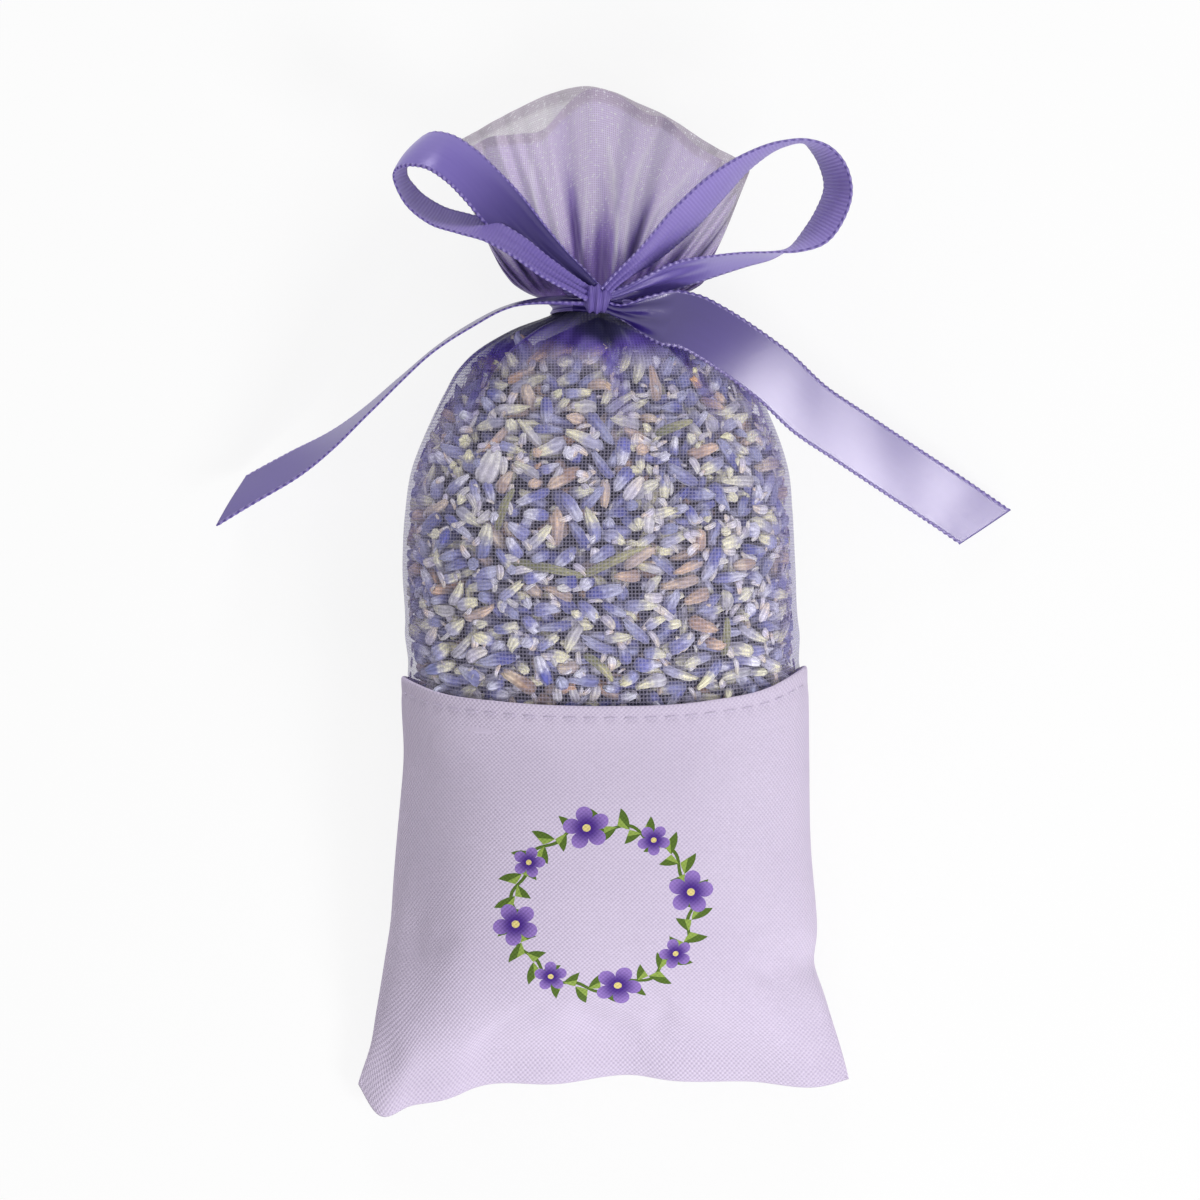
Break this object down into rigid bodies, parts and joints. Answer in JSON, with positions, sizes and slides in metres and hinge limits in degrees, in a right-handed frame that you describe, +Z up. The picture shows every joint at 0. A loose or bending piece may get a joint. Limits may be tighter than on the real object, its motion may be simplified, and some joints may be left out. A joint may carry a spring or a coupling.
{
  "type": "lavender sachet",
  "caption": "Scented sachet: cotton pouch with a sheer organza top, packed with dried lavender, gathered at the neck and tied with a satin ribbon bow under a pleated frill.",
  "frame": {"origin": "middle of the flat patch on the back of the cotton pouch, on the table", "axes": "+Y from the bottom seam to the frill, +Z up from the table through the front panel, +X to the right seen from the front"},
  "size_m": [0.136, 0.1816, 0.0368],
  "materials": {
    "lilac_cotton": "plain woven cotton, matt",
    "lilac_thread": "polyester sewing thread",
    "sheer_organza": "sheer organza with a slight sparkle",
    "violet_satin": "single-face satin ribbon",
    "dried_lavender": "packed dried flower buds, matt",
    "blue_bud": "dried bud, blue violet, matt",
    "pale_bud": "dried bud, pale straw, matt",
    "dry_stem": "dried stem, olive, matt"
  },
  "bodies": {
    "bag": {"cloth_front": "lilac_cotton", "cloth_back": "lilac_cotton", "side_seam_left": "lilac_thread", "side_seam_right": "lilac_thread", "bottom_seam": "lilac_thread", "hem_stitch_front": "lilac_thread", "hem_stitch_back": "lilac_thread", "organza_front": "sheer_organza", "organza_back": "sheer_organza", "lavender_fill": "dried_lavender", "neck_wrap": "violet_satin", "bow_knot": "violet_satin", "lavender_bud_01": "blue_bud", "lavender_bud_02": "blue_bud", "lavender_bud_03": "pale_bud", "lavender_bud_04": "blue_bud", "lavender_bud_05": "blue_bud", "lavender_bud_06": "pale_bud", "lavender_bud_07": "blue_bud", "lavender_bud_08": "blue_bud", "lavender_bud_09": "pale_bud", "lavender_bud_10": "blue_bud", "lavender_bud_11": "blue_bud", "lavender_bud_12": "pale_bud", "lavender_bud_13": "blue_bud", "lavender_bud_14": "blue_bud", "lavender_bud_15": "pale_bud", "lavender_bud_16": "blue_bud", "lavender_bud_17": "blue_bud", "lavender_bud_18": "pale_bud", "lavender_bud_19": "blue_bud", "lavender_bud_20": "blue_bud", "lavender_bud_21": "pale_bud", "lavender_bud_22": "blue_bud", "lavender_bud_23": "blue_bud", "lavender_bud_24": "pale_bud", "lavender_bud_25": "blue_bud", "stem_bit_1": "dry_stem", "stem_bit_2": "dry_stem", "stem_bit_3": "dry_stem"},
    "frill": {"frill_front": "sheer_organza", "frill_back": "sheer_organza"},
    "left_loop": {"left_loop": "violet_satin"},
    "right_loop": {"right_loop": "violet_satin"},
    "left_tail": {"left_tail": "violet_satin"},
    "right_tail": {"right_tail": "violet_satin"}
  },
  "joints": [
    {"name": "frill_lift", "type": "hinge", "parent": "bag", "child": "frill", "pos_m": [-0.0009, 0.0936, 0.0284], "axis": [1, 0, 0], "range_deg": [0, 20]},
    {"name": "left_loop_lift", "type": "hinge", "parent": "frill", "child": "left_loop", "pos_m": [-0.0038, 0.0936, 0.0283], "axis": [0.6392, 0.769, 0], "range_deg": [0, 30]},
    {"name": "right_loop_lift", "type": "hinge", "parent": "frill", "child": "right_loop", "pos_m": [0.0017, 0.0928, 0.0286], "axis": [0.5593, -0.829, 0], "range_deg": [0, 30]},
    {"name": "left_tail_lift", "type": "hinge", "parent": "bag", "child": "left_tail", "pos_m": [-0.0038, 0.0908, 0.0267], "axis": [-0.3697, 0.9292, 0], "range_deg": [0, 45]},
    {"name": "right_tail_lift", "type": "hinge", "parent": "bag", "child": "right_tail", "pos_m": [0.0017, 0.0891, 0.0257], "axis": [-0.4711, -0.8821, 0], "range_deg": [0, 45]}
  ]
}
